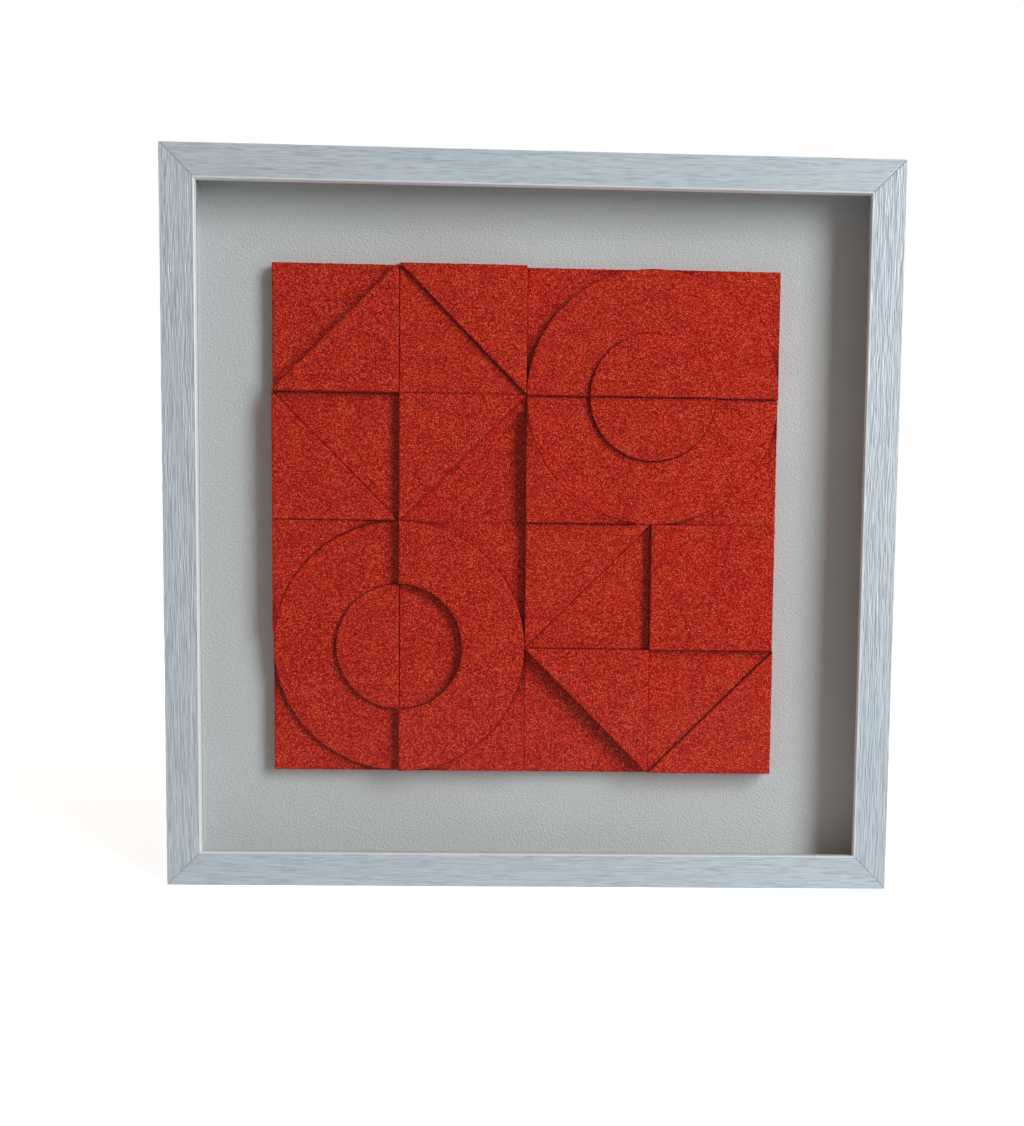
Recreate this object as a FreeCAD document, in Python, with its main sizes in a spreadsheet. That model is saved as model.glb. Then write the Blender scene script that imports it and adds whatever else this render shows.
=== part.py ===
"""A framed block relief: a square white box frame with glass, and behind it a red relief of flat blocks.

The frame is four mitred lengths of rabbeted moulding. Glass, card spacer strips, a mount board and a
backing board lie in the rabbet, and steel points hold them in. The relief is a square panel glued to the
mount board. Blocks of one, two or three steps of height stand on it: two modules of diamonds and two of
split rings.

Millimetres. The front looks along -Y, +Z is up, and the frame stands on the plane of its bottom edge.
Each piece is drawn about the centre of the frame, with Y measured back from the front face of the moulding.
"""

import FreeCAD
import Part
import os

import Sketcher
from FreeCAD import Placement, Rotation, Vector

doc = FreeCAD.newDocument("FramedRelief")
dims = doc.addObject("Spreadsheet::Sheet", "dims")

DRIVING_DIMENSIONS = (
    # the frame moulding
    ("outer_size", 430, "outside of the square frame"),
    ("rail_depth", 38, "front face to back face of the moulding"),
    ("moulding_width", 20, "outer face to the sight edge"),
    ("lip_overlap", 7, "how far the lip reaches over the glass opening"),
    ("lip_thickness", 5, "front face to the seat of the glass"),
    ("lip_radius", 0.5, "rounding of the sight edge"),
    ("edge_radius", 0.8, "rounding of the outer front arris"),
    # what lies in the rabbet, from the glass back
    ("content_clearance", 1, "rabbet wall to the edge of glass and boards"),
    ("glass_thickness", 2, "float glass"),
    ("spacer_thickness", 1, "card strip along each wall"),
    ("spacer_depth", 19.5, "glass to mount board"),
    ("mount_thickness", 2, "textured card"),
    ("backing_thickness", 3, "fibreboard"),
    # the relief
    ("cell_size", 75, "half of a module, a quarter of the panel"),
    ("panel_thickness", 9, "mount board to the lowest level"),
    ("level_step", 2.8, "height of one step"),
    ("seam", 0.4, "gap between neighbouring blocks"),
    ("ring_radius", 37.5, "where the half discs meet the bands"),
    ("shift_across", -4.8, "the panel is glued left of the centre"),
    ("shift_up", 2.8, "and a little above it"),
    # glazier's points
    ("point_width", 6, "strip of spring steel"),
    ("point_tip", 2, "width of its cut end"),
    ("point_length", 15, "whole strip"),
    ("point_grip", 6, "length that sits in the rail"),
    ("point_taper", 2.5, "length of the tapered end"),
    ("point_thickness", 0.5, "sheet thickness"),
    ("point_pitch", 120, "spacing along a rail"),
    # corner nails, driven into the mitres from the back
    ("corner_nail_leg", 8, "length of each leg"),
    ("corner_nail_thickness", 0.6, "sheet thickness"),
    ("corner_nail_height", 10, "depth that it is driven"),
    ("corner_nail_inset", 3.5, "outer face of the frame to the nail"),
    # sawtooth hangers
    ("hanger_length", 46, "end to end"),
    ("hanger_height", 9, "strip width"),
    ("hanger_thickness", 0.8, "sheet thickness"),
    ("hanger_foot", 7, "flat end that takes the nail"),
    ("hanger_ramp", 2, "length over which the strip rises"),
    ("hanger_standoff", 1.6, "gap behind the raised middle"),
    ("hanger_spacing", 220, "centre to centre"),
    ("tooth_pitch", 2.6, "tooth to tooth"),
    ("tooth_depth", 1.4, "depth of a notch"),
    ("nail_diameter", 1.2, "shank"),
    ("nail_clearance", 0.1, "hole over shank"),
    ("nail_length", 10, "under the head"),
    ("nail_head_diameter", 3, "flat head"),
    ("nail_head_height", 0.7, "flat head"),
    # rubber bumpers
    ("bumper_diameter", 10, "disc"),
    ("bumper_height", 3, "stands the frame off the wall"),
    ("bumper_rounding", 1, "edge away from the frame"),
    ("bumper_inset", 22, "side of the frame to its centre"),
)
POINTS_PER_RAIL = 3
TEETH = 10

for row, (alias, size, meaning) in enumerate(DRIVING_DIMENSIONS, start=1):
    dims.set(f"A{row}", alias)
    dims.set(f"B{row}", str(size))
    dims.setAlias(f"B{row}", alias)
    dims.set(f"C{row}", meaning)
doc.recompute()

# Places that several pieces share, as expressions on the sheet.
HALF_OUTER = "dims.outer_size / 2"
SIGHT = "(dims.outer_size / 2 - dims.moulding_width)"
RABBET = "(dims.outer_size / 2 - dims.moulding_width + dims.lip_overlap)"
CONTENT = f"({RABBET} - dims.content_clearance)"
WALL_MIDDLE = f"(({RABBET} + {HALF_OUTER}) / 2)"
GLASS_BACK = "(dims.lip_thickness + dims.glass_thickness)"
MOUNT_FRONT = f"({GLASS_BACK} + dims.spacer_depth)"
MOUNT_BACK = f"({MOUNT_FRONT} + dims.mount_thickness)"
BACKING_BACK = f"({MOUNT_BACK} + dims.backing_thickness)"
LOW_LEVEL = f"({MOUNT_FRONT} - dims.panel_thickness)"
CORNER_NAIL_FRONT = "(dims.rail_depth - dims.corner_nail_height)"
NAIL_IN_WOOD = "(dims.nail_length - dims.hanger_thickness)"
# The origin lies under the middle of the whole depth, bumpers included.
FRONT_FACE = "-(dims.rail_depth + dims.bumper_height) / 2"

sub_parts = []
cuts = []


def number(expression):
    """The present value of an expression on the sheet."""
    return float(dims.evalExpression(expression.replace("dims.", "")))


def place(piece, across="0", back="0", up="0", turns=0):
    """Puts a piece into the frame: clockwise quarter turns seen from the front, then shifts."""
    piece.Placement = Placement(Vector(0, 0, 0), Rotation(Vector(0, 1, 0), 90 * turns))
    piece.setExpression("Placement.Base.x", across)
    piece.setExpression("Placement.Base.y", f"{FRONT_FACE} + {back}")
    piece.setExpression("Placement.Base.z", f"{HALF_OUTER} + {up}")


def keep(piece, label):
    """Gives a piece its name and adds it to the sub-parts that are written out."""
    piece.Label = label
    sub_parts.append(piece)
    return piece


def box(label, width, depth, height, left, back, bottom):
    """A board or strip: its three sizes, and its least corner from the frame's centre."""
    piece = doc.addObject("Part::Box", label)
    piece.setExpression("Length", width)
    piece.setExpression("Width", depth)
    piece.setExpression("Height", height)
    place(piece, left, back, bottom)
    return keep(piece, label)


def sketch_on(body, plane, name, offset="0"):
    """A sketch on one of the body's own planes, moved along that plane's normal."""
    sketch = body.newObject("Sketcher::SketchObject", name)
    origin_plane = next(f for f in body.Origin.OriginFeatures if f.Role == plane)
    sketch.AttachmentSupport = [(origin_plane, "")]
    sketch.MapMode = "FlatFace"
    sketch.setExpression("AttachmentOffset.Base.z", offset)
    return sketch


def outline(sketch, corners, arcs=None):
    """Draws a closed loop of lines and arcs and ties it to the sheet.

    A corner is (x, y, held): held names the coordinates that get a dimension, and the other one follows
    from an arc. arcs maps a side's number to (centre x, centre y, radius, centred); a centred arc has its
    centre tied to the sketch's origin.
    """
    arcs = arcs or {}
    spots = [Vector(number(x), number(y), 0) for x, y, held in corners]
    starts, ends = [], []
    for side, start in enumerate(spots):
        end = spots[(side + 1) % len(spots)]
        if side not in arcs:
            edge = sketch.addGeometry(Part.LineSegment(start, end), False)
            starts.append((edge, 1))
            ends.append((edge, 2))
            continue
        centre = Vector(number(arcs[side][0]), number(arcs[side][1]), 0)
        circle = Part.Circle(centre, Vector(0, 0, 1), number(arcs[side][2]))
        forwards = (start - centre).cross(end - centre).z > 0
        first, last = (start, end) if forwards else (end, start)
        angles = circle.parameter(first), circle.parameter(last)
        edge = sketch.addGeometry(Part.ArcOfCircle(circle, *angles), False)
        starts.append((edge, 1 if forwards else 2))
        ends.append((edge, 2 if forwards else 1))
    for side, end in enumerate(ends):
        sketch.addConstraint(Sketcher.Constraint("Coincident", *end, *starts[(side + 1) % len(spots)]))
    for side, (x, y, held) in enumerate(corners):
        for axis, text, kind in (("x", x, "DistanceX"), ("y", y, "DistanceY")):
            if axis in held:
                tie(sketch, text, kind, -1, 1, *starts[side])
    for side, (_, _, radius, centred) in arcs.items():
        tie(sketch, radius, "Radius", starts[side][0])
        if centred:
            sketch.addConstraint(Sketcher.Constraint("Coincident", starts[side][0], 3, -1, 1))
    return sketch


def tie(sketch, expression, kind, *where):
    """A dimension in a sketch, bound to an expression on the sheet."""
    index = sketch.addConstraint(Sketcher.Constraint(kind, *where, number(expression)))
    sketch.setExpression(f"Constraints[{index}]", expression)


def pad(body, sketch, length, name, both_ways=False):
    """Makes a solid of a sketch, towards its plane's normal or both ways from it."""
    feature = body.newObject("PartDesign::Pad", name)
    feature.Profile = sketch
    feature.SideType = "Symmetric" if both_ways else "One side"
    feature.setExpression("Length", length)
    body.Tip = feature
    return feature


def pocket(body, sketch, name, length=None):
    """Cuts a sketch out of the body, against its plane's normal: to a length, or right through."""
    before = body.Tip
    feature = body.newObject("PartDesign::Pocket", name)
    feature.Profile = sketch
    feature.Type = "Length" if length else "ThroughAll"
    if length:
        feature.setExpression("Length", length)
    body.Tip = feature
    cuts.append((before, feature))
    return feature


def circle_in(sketch, x, y, diameter):
    """A hole's circle with its centre and diameter bound to the sheet."""
    middle = Vector(number(x), number(y), 0)
    edge = sketch.addGeometry(Part.Circle(middle, Vector(0, 0, 1), number(diameter) / 2), False)
    tie(sketch, x, "DistanceX", -1, 1, edge, 3)
    tie(sketch, y, "DistanceY", -1, 1, edge, 3)
    tie(sketch, diameter, "Diameter", edge)


# Frame moulding

SECTION = (
    ("dims.edge_radius", f"-{HALF_OUTER}", "xy"),
    ("dims.rail_depth", f"-{HALF_OUTER}", "xy"),
    ("dims.rail_depth", f"-{RABBET}", "xy"),
    ("dims.lip_thickness", f"-{RABBET}", "xy"),
    ("dims.lip_thickness", f"-{SIGHT}", "xy"),
    ("dims.lip_radius", f"-{SIGHT}", "xy"),
    ("0", f"-{SIGHT} - dims.lip_radius", "xy"),
    ("0", f"-{HALF_OUTER} + dims.edge_radius", "xy"),
)
SECTION_ARCS = {
    5: ("dims.lip_radius", f"-{SIGHT} - dims.lip_radius", "dims.lip_radius", False),
    7: ("dims.edge_radius", f"-{HALF_OUTER} + dims.edge_radius", "dims.edge_radius", False),
}


def corner_nail_outline(sign):
    """The corner nail: an L about the mitre at the lower left (-1) or lower right (1) corner."""
    outer = "(dims.outer_size / 2 - dims.corner_nail_inset)"
    inner = f"({outer} - dims.corner_nail_thickness)"
    tip = f"({outer} - dims.corner_nail_leg)"
    path = ((outer, outer), (tip, outer), (tip, inner), (inner, inner), (inner, tip), (outer, tip))
    return [(f"{sign} * {across}", f"-{down}", "xy") for across, down in path]


def point_outline(middle):
    """A glazier's point at the bottom rail: its tapered end sits in the rail, the rest over the backing."""
    half, tip = "dims.point_width / 2", "dims.point_tip / 2"
    free_end = f"-{RABBET} + dims.point_length - dims.point_grip"
    taper = f"-{RABBET} - dims.point_grip + dims.point_taper"
    buried_end = f"-{RABBET} - dims.point_grip"
    return [
        (f"{middle} + {half}", free_end, "xy"),
        (f"{middle} - {half}", free_end, "xy"),
        (f"{middle} - {half}", taper, "xy"),
        (f"{middle} - {tip}", buried_end, "xy"),
        (f"{middle} + {tip}", buried_end, "xy"),
        (f"{middle} + {half}", taper, "xy"),
    ]


def point_middles():
    """Where the points stand along a rail."""
    first = (POINTS_PER_RAIL - 1) / 2
    return [f"({index - first} * dims.point_pitch)" for index in range(POINTS_PER_RAIL)]


def nail_spots():
    """Where the hanger nails stand along the top rail: one in each foot of both hangers."""
    foot = "(dims.hanger_length - dims.hanger_foot) / 2"
    return [f"({side} * dims.hanger_spacing / 2 + {end} * {foot})" for side in (-1, 1) for end in (-1, 1)]


def frame_rail(label, turns, holds_hangers=False):
    """One length of moulding: its section run along the rail, both ends mitred, slots for the metal."""
    body = doc.addObject("PartDesign::Body", label)
    section = outline(sketch_on(body, "YZ_Plane", f"{label}_section"), SECTION, SECTION_ARCS)
    pad(body, section, "dims.outer_size", f"{label}_length", both_ways=True)

    for side, name in ((-1, "left"), (1, "right")):
        end = f"{side} * {HALF_OUTER}"
        waste = (
            (end, f"-{HALF_OUTER}", "xy"),
            (end, f"-{SIGHT}", "xy"),
            (f"{side} * {SIGHT}", f"-{SIGHT}", "xy"),
        )
        sketch = outline(sketch_on(body, "XZ_Plane", f"{label}_mitre_{name}"), waste)
        pocket(body, sketch, f"{label}_mitre_cut_{name}")
        slot = sketch_on(body, "XZ_Plane", f"{label}_corner_slot_{name}", f"-{CORNER_NAIL_FRONT}")
        pocket(body, outline(slot, corner_nail_outline(side)), f"{label}_corner_slot_cut_{name}")

    slots = sketch_on(body, "XZ_Plane", f"{label}_point_slots", f"-{BACKING_BACK}")
    for middle in point_middles():
        outline(slots, point_outline(middle))
    pocket(body, slots, f"{label}_point_slot_cut", "dims.point_thickness")

    if holds_hangers:
        holes = sketch_on(body, "XZ_Plane", f"{label}_nail_holes", f"-(dims.rail_depth - {NAIL_IN_WOOD})")
        for spot in nail_spots():
            circle_in(holes, spot, f"-{WALL_MIDDLE}", "dims.nail_diameter + dims.nail_clearance")
        pocket(body, holes, f"{label}_nail_hole_cut")
    place(body, turns=turns)
    return keep(body, label)


frame_rail("frame_bottom", 0)
frame_rail("frame_left", 1)
frame_rail("frame_top", 2, holds_hangers=True)
frame_rail("frame_right", 3)


# Glass, spacers and boards

FULL = f"2 * {CONTENT}"
BETWEEN = f"2 * ({CONTENT} - dims.spacer_thickness)"
INNER = f"({CONTENT} - dims.spacer_thickness)"

box("glass", FULL, "dims.glass_thickness", FULL, f"-{CONTENT}", "dims.lip_thickness", f"-{CONTENT}")
for name, bottom in (("spacer_bottom", f"-{CONTENT}"), ("spacer_top", INNER)):
    box(name, FULL, "dims.spacer_depth", "dims.spacer_thickness", f"-{CONTENT}", GLASS_BACK, bottom)
for name, left in (("spacer_left", f"-{CONTENT}"), ("spacer_right", INNER)):
    box(name, "dims.spacer_thickness", "dims.spacer_depth", BETWEEN, left, GLASS_BACK, f"-{INNER}")
box("mount_board", FULL, "dims.mount_thickness", FULL, f"-{CONTENT}", MOUNT_FRONT, f"-{CONTENT}")
box("backing_board", FULL, "dims.backing_thickness", FULL, f"-{CONTENT}", MOUNT_BACK, f"-{CONTENT}")
box(
    "relief_panel",
    "4 * dims.cell_size",
    "dims.panel_thickness",
    "4 * dims.cell_size",
    "dims.shift_across - 2 * dims.cell_size",
    LOW_LEVEL,
    "dims.shift_up - 2 * dims.cell_size",
)


# Relief blocks, each drawn about the centre of its module, in the upper right corner or the upper half

GAP = "dims.seam / 2"
SHARP = f"{GAP} * (1 + sqrt(2))"
EDGE = f"(dims.cell_size - {GAP})"
BAND_OUT = EDGE
BAND_IN = f"(dims.ring_radius + {GAP})"
DISC = f"(dims.ring_radius - {GAP})"
HOLLOW = f"(dims.cell_size + {GAP})"
HOLLOW_END = f"sqrt({HOLLOW} ^ 2 - {EDGE} ^ 2)"


def chord(radius):
    """Half the chord of a circle of that radius, at the seam along its split."""
    return f"sqrt({radius} ^ 2 - ({GAP}) ^ 2)"


def about_centre(radius):
    """An arc about the module's centre."""
    return ("0", "0", radius, True)


BLOCK_OUTLINES = {
    "quarter": (
        (
            (GAP, GAP, "xy"),
            (f"dims.cell_size - {SHARP}", GAP, "xy"),
            (GAP, f"dims.cell_size - {SHARP}", "xy"),
        ),
        {},
    ),
    "corner": (((EDGE, SHARP, "xy"), (EDGE, EDGE, "xy"), (SHARP, EDGE, "xy")), {}),
    "band": (
        (
            (chord(BAND_OUT), GAP, "y"),
            (f"-{chord(BAND_OUT)}", GAP, "y"),
            (f"-{chord(BAND_IN)}", GAP, "y"),
            (chord(BAND_IN), GAP, "y"),
        ),
        {0: about_centre(BAND_OUT), 2: about_centre(BAND_IN)},
    ),
    "half_disc": (
        ((chord(DISC), GAP, "y"), (f"-{chord(DISC)}", GAP, "y")),
        {0: about_centre(DISC)},
    ),
    "spandrel": (
        ((EDGE, HOLLOW_END, "x"), (EDGE, EDGE, "xy"), (HOLLOW_END, EDGE, "y")),
        {2: about_centre(HOLLOW)},
    ),
}

# For each module: its place in cells from the panel's centre, then each block's outline, where it lies in
# the module, and its level. What isn't named is left at the panel's own level.
MODULES = {
    "diamond_upper": (
        (-1, 1),
        (
            ("quarter", "upper_right", "middle"),
            ("quarter", "lower_right", "high"),
            ("quarter", "lower_left", "low"),
            ("quarter", "upper_left", "high"),
            ("corner", "upper_right", "high"),
            ("corner", "lower_left", "middle"),
        ),
    ),
    "rings_upper": (
        (1, 1),
        (
            ("band", "top", "middle"),
            ("band", "bottom", "low"),
            ("half_disc", "top", "high"),
            ("half_disc", "bottom", "middle"),
            ("spandrel", "upper_right", "low"),
            ("spandrel", "lower_left", "high"),
        ),
    ),
    "rings_lower": (
        (-1, -1),
        (
            ("band", "right", "high"),
            ("band", "left", "low"),
            ("half_disc", "right", "low"),
            ("half_disc", "left", "middle"),
            ("spandrel", "lower_right", "low"),
            ("spandrel", "upper_left", "middle"),
        ),
    ),
    "diamond_lower": (
        (1, -1),
        (
            ("quarter", "upper_right", "high"),
            ("quarter", "lower_right", "low"),
            ("quarter", "lower_left", "high"),
            ("quarter", "upper_left", "low"),
            ("corner", "upper_right", "low"),
            ("corner", "lower_right", "middle"),
            ("corner", "upper_left", "middle"),
        ),
    ),
}

# Outlines are drawn for the first of these places, and each further place is one more quarter turn.
SIDES = ("top", "right", "bottom", "left")
CORNERS = ("upper_right", "lower_right", "lower_left", "upper_left")
# Steps above the panel's face.
LEVELS = ("panel", "low", "middle", "high")


def relief_block(label, kind, turns, level, across, up):
    """One block: its outline raised by its level's height above the panel's face."""
    body = doc.addObject("PartDesign::Body", label)
    corners, arcs = BLOCK_OUTLINES[kind]
    sketch = outline(sketch_on(body, "XZ_Plane", f"{label}_outline"), corners, arcs)
    pad(body, sketch, f"{LEVELS.index(level)} * dims.level_step", f"{label}_height")
    across_panel = f"dims.shift_across + {across} * dims.cell_size"
    up_panel = f"dims.shift_up + {up} * dims.cell_size"
    place(body, across_panel, LOW_LEVEL, up_panel, turns)
    return keep(body, label)


for module, ((across, up), blocks) in MODULES.items():
    for kind, where, level in blocks:
        turns = (SIDES if where in SIDES else CORNERS).index(where)
        relief_block(f"{module}_{kind}_{where}", kind, turns, level, across, up)


# Hardware

def copies(label, source, spots):
    """A group of separate solids: the source linked once for each (quarter turns, shift along X)."""
    links = []
    for index, (turns, shift) in enumerate(spots, start=1):
        link = doc.addObject("App::Link", f"{label}_{index}")
        link.LinkedObject = source
        link.Placement = Placement(Vector(0, 0, 0), Rotation(Vector(0, 1, 0), 90 * turns))
        link.setExpression("Placement.Base.x", shift)
        links.append(link)
    group = doc.addObject("Part::Compound", label)
    group.Links = links
    return group


point = doc.addObject("PartDesign::Body", "glazier_point")
point_back = f"-({BACKING_BACK} + dims.point_thickness)"
point_sketch = sketch_on(point, "XZ_Plane", "glazier_point_outline", point_back)
outline(point_sketch, point_outline("0"))
pad(point, point_sketch, "dims.point_thickness", "glazier_point_sheet")
points_on_a_rail = copies("points_on_a_rail", point, [(0, middle) for middle in point_middles()])
glazier_points = copies("glazier_points", points_on_a_rail, [(turns, "0") for turns in range(4)])
place(glazier_points)
keep(glazier_points, "glazier_points")

corner_nail = doc.addObject("PartDesign::Body", "corner_nail")
corner_nail_sketch = sketch_on(corner_nail, "XZ_Plane", "corner_nail_outline", "-dims.rail_depth")
outline(corner_nail_sketch, corner_nail_outline(-1))
pad(corner_nail, corner_nail_sketch, "dims.corner_nail_height", "corner_nail_sheet")
corner_nails = copies("corner_nails", corner_nail, [(turns, "0") for turns in range(4)])
place(corner_nails)
keep(corner_nails, "corner_nails")


def hanger_profile():
    """The bent strip seen from above: a flat foot at each end and a raised middle, of even thickness."""
    end = "dims.hanger_length / 2"
    bend = f"({end} - dims.hanger_foot)"
    raised = f"({bend} - dims.hanger_ramp)"
    near = ((end, "0"), (bend, "0"), (raised, "dims.hanger_standoff"))
    far = [(across, f"{back} + dims.hanger_thickness") for across, back in near]
    right = [(across, back, "xy") for across, back in near[::-1]]
    left = [(f"-{across}", back, "xy") for across, back in near]
    left_far = [(f"-{across}", back, "xy") for across, back in far]
    right_far = [(across, back, "xy") for across, back in far[::-1]]
    return left + right + right_far[::-1] + left_far[::-1]


def sawtooth_hanger(label, side):
    """A steel strip with a row of notches along its lower edge, nailed to the back of the top rail."""
    body = doc.addObject("PartDesign::Body", label)
    sketch = outline(sketch_on(body, "XY_Plane", f"{label}_profile"), hanger_profile())
    pad(body, sketch, "dims.hanger_height", f"{label}_strip", both_ways=True)

    holes = sketch_on(body, "XZ_Plane", f"{label}_nail_holes")
    for end in (-1, 1):
        spot = f"{end} * (dims.hanger_length - dims.hanger_foot) / 2"
        circle_in(holes, spot, "0", "dims.nail_diameter + dims.nail_clearance")
    pocket(body, holes, f"{label}_nail_hole_cut")

    first = f"-{(TEETH - 1) / 2} * dims.tooth_pitch"
    edge = "-dims.hanger_height / 2"
    notch = (
        (f"{first} - dims.tooth_pitch / 2", edge, "xy"),
        (f"{first} + dims.tooth_pitch / 2", edge, "xy"),
        (first, f"{edge} + dims.tooth_depth", "xy"),
    )
    notch_sketch = outline(sketch_on(body, "XZ_Plane", f"{label}_notch"), notch)
    notch_cut = pocket(body, notch_sketch, f"{label}_notch_cut")
    doc.recompute()
    row = body.newObject("PartDesign::LinearPattern", f"{label}_teeth")
    row.Originals = [notch_cut]
    row.Direction = (next(f for f in body.Origin.OriginFeatures if f.Role == "X_Axis"), [""])
    row.Occurrences = TEETH
    row.setExpression("Length", f"{TEETH - 1} * dims.tooth_pitch")
    body.Tip = row
    place(body, f"{side} * dims.hanger_spacing / 2", "dims.rail_depth", WALL_MIDDLE)
    return keep(body, label)


sawtooth_hanger("hanger_left", -1)
sawtooth_hanger("hanger_right", 1)

BACKWARDS = Rotation(Vector(1, 0, 0), -90)


def turned(label, diameter, length, back):
    """A cylinder about an axis that runs back from the rail."""
    solid = doc.addObject("Part::Cylinder", label)
    solid.setExpression("Radius", f"{diameter} / 2")
    solid.setExpression("Height", length)
    solid.Placement = Placement(Vector(0, 0, 0), BACKWARDS)
    solid.setExpression("Placement.Base.y", back)
    return solid


nail_shank = turned("nail_shank", "dims.nail_diameter", "dims.nail_length", f"-{NAIL_IN_WOOD}")
nail_head = turned("nail_head", "dims.nail_head_diameter", "dims.nail_head_height", "dims.hanger_thickness")
nail = doc.addObject("Part::Fuse", "nail")
nail.Base, nail.Tool = nail_shank, nail_head
hanger_nails = copies("hanger_nails", nail, [(0, spot) for spot in nail_spots()])
place(hanger_nails, "0", "dims.rail_depth", WALL_MIDDLE)
keep(hanger_nails, "hanger_nails")

bumper_disc = turned("bumper_disc", "dims.bumper_diameter", "dims.bumper_height", "0")
doc.recompute()
bumper = doc.addObject("Part::Fillet", "bumper")
bumper.Base = bumper_disc
disc_edges = bumper_disc.Shape.Edges
far_edge = 1 + max(range(len(disc_edges)), key=lambda index: disc_edges[index].CenterOfMass.y)
rounding = number("dims.bumper_rounding")
bumper.Edges = [(far_edge, rounding, rounding)]
bumper_spot = f"({HALF_OUTER} - dims.bumper_inset)"
bumpers = copies("bumpers", bumper, [(0, f"-{bumper_spot}"), (0, bumper_spot)])
place(bumpers, "0", "dims.rail_depth", f"-{WALL_MIDDLE}")
keep(bumpers, "bumpers")


# Checks and files

doc.recompute()
for piece in doc.Objects:
    faults = [state for state in piece.State if state in ("Invalid", "Error")]
    if faults:
        raise RuntimeError(f"{piece.Name} has state {faults}")
for before, after in cuts:
    if not after.Shape.Volume < before.Shape.Volume - 1e-6:
        raise RuntimeError(f"{after.Name} cuts nothing")
for piece in sub_parts:
    if piece.Shape.isNull() or not piece.Shape.isValid() or not piece.Shape.Solids:
        raise RuntimeError(f"{piece.Label} is not a sound solid")

os.makedirs("parts", exist_ok=True)
for piece in sub_parts:
    piece.Shape.exportStep(f"parts/{piece.Label}.step")
    print(f"{piece.Label}: {len(piece.Shape.Solids)} solids, {piece.Shape.Volume / 1000:.2f} cm3")
print(f"{len(sub_parts)} sub-parts")
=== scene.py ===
# %% [markdown]
# # A framed block relief
#
# This file dresses a ready-made model. The model is a square white box frame with glass, and behind the
# glass stands a red relief: flat blocks cut from board, coated with coarse grit and glued in steps of
# height. Every solid is already at its real place and size, in metres. What is added here is finish: grit,
# wood grain, card, glass, metal and light.
#
# We load the model first. A helper reads the box of any part, and what we add must stay inside the model's box.

# %% Load the model
import math

import bmesh
import bpy
import numpy as np
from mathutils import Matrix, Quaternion, Vector


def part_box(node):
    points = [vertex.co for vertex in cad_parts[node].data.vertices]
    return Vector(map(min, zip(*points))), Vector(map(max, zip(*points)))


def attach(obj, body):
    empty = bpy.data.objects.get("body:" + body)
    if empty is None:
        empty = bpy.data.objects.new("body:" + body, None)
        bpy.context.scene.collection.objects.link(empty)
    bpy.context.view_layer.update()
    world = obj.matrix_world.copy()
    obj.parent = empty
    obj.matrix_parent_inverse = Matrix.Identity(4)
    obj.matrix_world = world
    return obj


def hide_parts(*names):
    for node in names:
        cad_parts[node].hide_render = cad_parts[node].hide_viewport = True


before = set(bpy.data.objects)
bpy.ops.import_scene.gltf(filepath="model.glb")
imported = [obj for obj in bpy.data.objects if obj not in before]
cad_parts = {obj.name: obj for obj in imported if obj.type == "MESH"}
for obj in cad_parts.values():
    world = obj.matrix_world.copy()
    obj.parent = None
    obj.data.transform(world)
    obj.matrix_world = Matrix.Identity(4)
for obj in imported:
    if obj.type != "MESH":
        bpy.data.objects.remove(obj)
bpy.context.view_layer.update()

MM = 0.001

# %% [markdown]
# ## The camera
#
# The camera comes first, because it decides how fine each finish has to be. Its place was found by matching
# the frame's outer corners, its sight edge and the relief's lower corners: the camera stands low and a
# little to the right, and looks slightly down. The picture's centre isn't where the lens looks, so a small
# shift is used.

# %% Place the camera
PICTURE_WIDTH, PICTURE_HEIGHT = 1024, 1126
FOCAL_LENGTH_IN_PIXELS = 1000
LENS_CENTRE = (595, 648)
CAMERA_PLACE = (0.0223, -0.6110, 0.1798)
CAMERA_AIM = (0.0375, -0.0205, 0.1441)
CAMERA_ROLL_DEGREES = 0.775

camera_data = bpy.data.cameras.new("camera")
camera_data.sensor_width = 36
camera_data.lens = FOCAL_LENGTH_IN_PIXELS * camera_data.sensor_width / PICTURE_HEIGHT
camera_data.shift_x = (PICTURE_WIDTH / 2 - LENS_CENTRE[0]) / PICTURE_HEIGHT
camera_data.shift_y = (LENS_CENTRE[1] - PICTURE_HEIGHT / 2) / PICTURE_HEIGHT
camera_data.clip_start = 0.01
camera = bpy.data.objects.new("camera", camera_data)
camera.location = CAMERA_PLACE
aim = (Vector(CAMERA_AIM) - Vector(CAMERA_PLACE)).to_track_quat("-Z", "Y")
roll = Quaternion((0, 0, 1), math.radians(CAMERA_ROLL_DEGREES))
camera.rotation_mode = "QUATERNION"
camera.rotation_quaternion = aim @ roll
bpy.context.collection.objects.link(camera)
bpy.context.scene.camera = camera
print("lens", round(camera_data.lens, 2), "shift", round(camera_data.shift_x, 3), round(camera_data.shift_y, 3))

# %% [markdown]
# ## Noise made of whole arrays
#
# Grit and wood grain are random, but they have to come out the same each time. So there is no random
# generator: each point of a lattice gets a number worked out from its own place. Two kinds of noise use
# that lattice. One is smooth and gives waves and streaks. The other gives round grains that lie side by
# side, as grit does.

# %% Noise helpers
COLUMN_FACTOR, ROW_FACTOR = np.uint32(374761393), np.uint32(668265263)
SEED_FACTOR, FOLD_FACTOR = 144665, np.uint32(1274126177)
LOW_BITS, ALL_BITS = 0xFFFFFF, 0xFFFFFFFF
SPOT_MARGIN = 0.15
GRAIN_REACH = 0.75
SHORTEST_GRAIN = 0.45


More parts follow.
